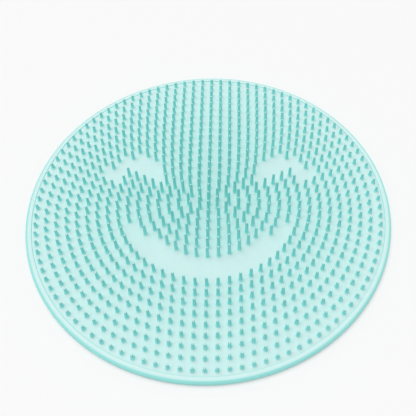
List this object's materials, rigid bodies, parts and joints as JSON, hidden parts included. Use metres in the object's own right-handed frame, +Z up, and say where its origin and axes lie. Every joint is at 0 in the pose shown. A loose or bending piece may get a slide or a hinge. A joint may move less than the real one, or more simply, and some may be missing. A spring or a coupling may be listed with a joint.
{
  "type": "bath massage pad",
  "caption": "Round soft bath mat for massaging feet or back: rings of tapered bristles above, with bare arches and a bare curved band among them, and suction cups below.",
  "frame": {"origin": "middle of the pad, on the plane of the suction cups' lips that it lies on", "axes": "+Z up out of the bristled side, +Y from the middle towards the side of the two bare arches, -Y towards the bare curved band"},
  "size_m": [0.31, 0.31, 0.0238],
  "materials": {
    "silicone": "soft pale aqua silicone, satin"
  },
  "bodies": {
    "root": {"pad": "silicone"}
  },
  "joints": []
}
